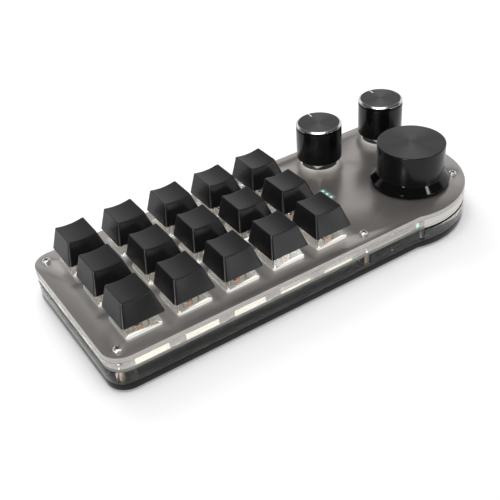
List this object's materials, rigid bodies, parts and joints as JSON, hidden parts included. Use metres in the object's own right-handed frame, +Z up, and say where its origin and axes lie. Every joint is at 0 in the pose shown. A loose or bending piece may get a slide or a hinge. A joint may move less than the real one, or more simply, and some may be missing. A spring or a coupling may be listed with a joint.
{
  "type": "macro keypad",
  "caption": "Macro keypad with dark sculpted keys on a case of stacked acrylic sheets, and push-and-turn knobs at its rounded end.",
  "frame": {"origin": "on the table, under the middle of the case's bounding box", "axes": "+X along the case from the keys to the knobs, +Y to the back edge, +Z up"},
  "size_m": [0.1924, 0.0802, 0.0378],
  "materials": {
    "frosted_acrylic": "frosted grey acrylic, satin",
    "clear_acrylic": "clear acrylic, flame polished edge",
    "smoked_acrylic": "smoked acrylic, sawn edge",
    "black_acrylic": "gloss black acrylic",
    "foot_rubber": "matte",
    "standoff_brass": "turned",
    "nickel_screw": "nickel plated",
    "circuit_board": "solder mask",
    "chip_black": "moulded",
    "plated_steel": "nickel plated",
    "lamp_lens": "lit teal lens",
    "switch_clear": "clear moulded nylon",
    "contact_copper": "copper alloy",
    "spring_steel": "drawn wire",
    "stem_plastic": "moulded",
    "keycap_plastic": "fine satin texture",
    "knob_black": "black anodised, brushed top"
  },
  "bodies": {
    "case": {"top_plate": "frosted_acrylic", "spacer_sheet": "clear_acrylic", "end_spacer": "clear_acrylic", "lower_frame": "clear_acrylic", "end_frame": "smoked_acrylic", "base_plate": "black_acrylic", "feet": "foot_rubber", "standoffs": "standoff_brass", "top_screws": "nickel_screw", "base_screws": "nickel_screw", "main_board": "circuit_board", "controller_chip": "chip_black", "board_parts": "chip_black", "usb_socket": "plated_steel", "indicator_lamps": "lamp_lens", "switch_bases": "switch_clear", "switch_covers": "switch_clear", "switch_contacts": "contact_copper", "switch_springs": "spring_steel", "encoder_bodies": "chip_black", "encoder_necks": "plated_steel"},
    "key_r1c1": {"stem_r1c1": "stem_plastic", "keycap_r1c1": "keycap_plastic"},
    "key_r1c2": {"stem_r1c2": "stem_plastic", "keycap_r1c2": "keycap_plastic"},
    "key_r1c3": {"stem_r1c3": "stem_plastic", "keycap_r1c3": "keycap_plastic"},
    "key_r1c4": {"stem_r1c4": "stem_plastic", "keycap_r1c4": "keycap_plastic"},
    "key_r1c5": {"stem_r1c5": "stem_plastic", "keycap_r1c5": "keycap_plastic"},
    "key_r2c1": {"stem_r2c1": "stem_plastic", "keycap_r2c1": "keycap_plastic"},
    "key_r2c2": {"stem_r2c2": "stem_plastic", "keycap_r2c2": "keycap_plastic"},
    "key_r2c3": {"stem_r2c3": "stem_plastic", "keycap_r2c3": "keycap_plastic"},
    "key_r2c4": {"stem_r2c4": "stem_plastic", "keycap_r2c4": "keycap_plastic"},
    "key_r2c5": {"stem_r2c5": "stem_plastic", "keycap_r2c5": "keycap_plastic"},
    "key_r3c1": {"stem_r3c1": "stem_plastic", "keycap_r3c1": "keycap_plastic"},
    "key_r3c2": {"stem_r3c2": "stem_plastic", "keycap_r3c2": "keycap_plastic"},
    "key_r3c3": {"stem_r3c3": "stem_plastic", "keycap_r3c3": "keycap_plastic"},
    "key_r3c4": {"stem_r3c4": "stem_plastic", "keycap_r3c4": "keycap_plastic"},
    "key_r3c5": {"stem_r3c5": "stem_plastic", "keycap_r3c5": "keycap_plastic"},
    "left_knob_press": {"left_knob_plunger": "stem_plastic"},
    "left_knob_turn": {"left_knob_shaft": "plated_steel", "left_knob": "knob_black"},
    "right_knob_press": {"right_knob_plunger": "stem_plastic"},
    "right_knob_turn": {"right_knob_shaft": "plated_steel", "right_knob": "knob_black"},
    "big_knob_press": {"big_knob_plunger": "stem_plastic"},
    "big_knob_turn": {"big_knob_shaft": "plated_steel", "big_knob": "knob_black"}
  },
  "joints": [
    {"name": "key_r1c1_press", "type": "slide", "parent": "case", "child": "key_r1c1", "axis": [0, 0, -1], "range_m": [0, 0.004], "stiffness_N_per_m": 75, "springref_m": -0.004, "deforming": ["switch_springs"]},
    {"name": "key_r1c2_press", "type": "slide", "parent": "case", "child": "key_r1c2", "axis": [0, 0, -1], "range_m": [0, 0.004], "stiffness_N_per_m": 75, "springref_m": -0.004, "deforming": ["switch_springs"]},
    {"name": "key_r1c3_press", "type": "slide", "parent": "case", "child": "key_r1c3", "axis": [0, 0, -1], "range_m": [0, 0.004], "stiffness_N_per_m": 75, "springref_m": -0.004, "deforming": ["switch_springs"]},
    {"name": "key_r1c4_press", "type": "slide", "parent": "case", "child": "key_r1c4", "axis": [0, 0, -1], "range_m": [0, 0.004], "stiffness_N_per_m": 75, "springref_m": -0.004, "deforming": ["switch_springs"]},
    {"name": "key_r1c5_press", "type": "slide", "parent": "case", "child": "key_r1c5", "axis": [0, 0, -1], "range_m": [0, 0.004], "stiffness_N_per_m": 75, "springref_m": -0.004, "deforming": ["switch_springs"]},
    {"name": "key_r2c1_press", "type": "slide", "parent": "case", "child": "key_r2c1", "axis": [0, 0, -1], "range_m": [0, 0.004], "stiffness_N_per_m": 75, "springref_m": -0.004, "deforming": ["switch_springs"]},
    {"name": "key_r2c2_press", "type": "slide", "parent": "case", "child": "key_r2c2", "axis": [0, 0, -1], "range_m": [0, 0.004], "stiffness_N_per_m": 75, "springref_m": -0.004, "deforming": ["switch_springs"]},
    {"name": "key_r2c3_press", "type": "slide", "parent": "case", "child": "key_r2c3", "axis": [0, 0, -1], "range_m": [0, 0.004], "stiffness_N_per_m": 75, "springref_m": -0.004, "deforming": ["switch_springs"]},
    {"name": "key_r2c4_press", "type": "slide", "parent": "case", "child": "key_r2c4", "axis": [0, 0, -1], "range_m": [0, 0.004], "stiffness_N_per_m": 75, "springref_m": -0.004, "deforming": ["switch_springs"]},
    {"name": "key_r2c5_press", "type": "slide", "parent": "case", "child": "key_r2c5", "axis": [0, 0, -1], "range_m": [0, 0.004], "stiffness_N_per_m": 75, "springref_m": -0.004, "deforming": ["switch_springs"]},
    {"name": "key_r3c1_press", "type": "slide", "parent": "case", "child": "key_r3c1", "axis": [0, 0, -1], "range_m": [0, 0.004], "stiffness_N_per_m": 75, "springref_m": -0.004, "deforming": ["switch_springs"]},
    {"name": "key_r3c2_press", "type": "slide", "parent": "case", "child": "key_r3c2", "axis": [0, 0, -1], "range_m": [0, 0.004], "stiffness_N_per_m": 75, "springref_m": -0.004, "deforming": ["switch_springs"]},
    {"name": "key_r3c3_press", "type": "slide", "parent": "case", "child": "key_r3c3", "axis": [0, 0, -1], "range_m": [0, 0.004], "stiffness_N_per_m": 75, "springref_m": -0.004, "deforming": ["switch_springs"]},
    {"name": "key_r3c4_press", "type": "slide", "parent": "case", "child": "key_r3c4", "axis": [0, 0, -1], "range_m": [0, 0.004], "stiffness_N_per_m": 75, "springref_m": -0.004, "deforming": ["switch_springs"]},
    {"name": "key_r3c5_press", "type": "slide", "parent": "case", "child": "key_r3c5", "axis": [0, 0, -1], "range_m": [0, 0.004], "stiffness_N_per_m": 75, "springref_m": -0.004, "deforming": ["switch_springs"]},
    {"name": "left_knob_press", "type": "slide", "parent": "case", "child": "left_knob_press", "axis": [0, 0, -1], "range_m": [0, 0.0005], "stiffness_N_per_m": 2500, "springref_m": -0.0008},
    {"name": "left_knob_turn", "type": "hinge", "parent": "left_knob_press", "child": "left_knob_turn", "pos_m": [0.04645, 0.0265, 0.03], "axis": [0, 0, 1], "continuous": true},
    {"name": "right_knob_press", "type": "slide", "parent": "case", "child": "right_knob_press", "axis": [0, 0, -1], "range_m": [0, 0.0005], "stiffness_N_per_m": 2500, "springref_m": -0.0008},
    {"name": "right_knob_turn", "type": "hinge", "parent": "right_knob_press", "child": "right_knob_turn", "pos_m": [0.08375, 0.0265, 0.03], "axis": [0, 0, 1], "continuous": true},
    {"name": "big_knob_press", "type": "slide", "parent": "case", "child": "big_knob_press", "axis": [0, 0, -1], "range_m": [0, 0.0005], "stiffness_N_per_m": 2500, "springref_m": -0.0008},
    {"name": "big_knob_turn", "type": "hinge", "parent": "big_knob_press", "child": "big_knob_turn", "pos_m": [0.06815, -0.0126, 0.03], "axis": [0, 0, 1], "continuous": true}
  ]
}
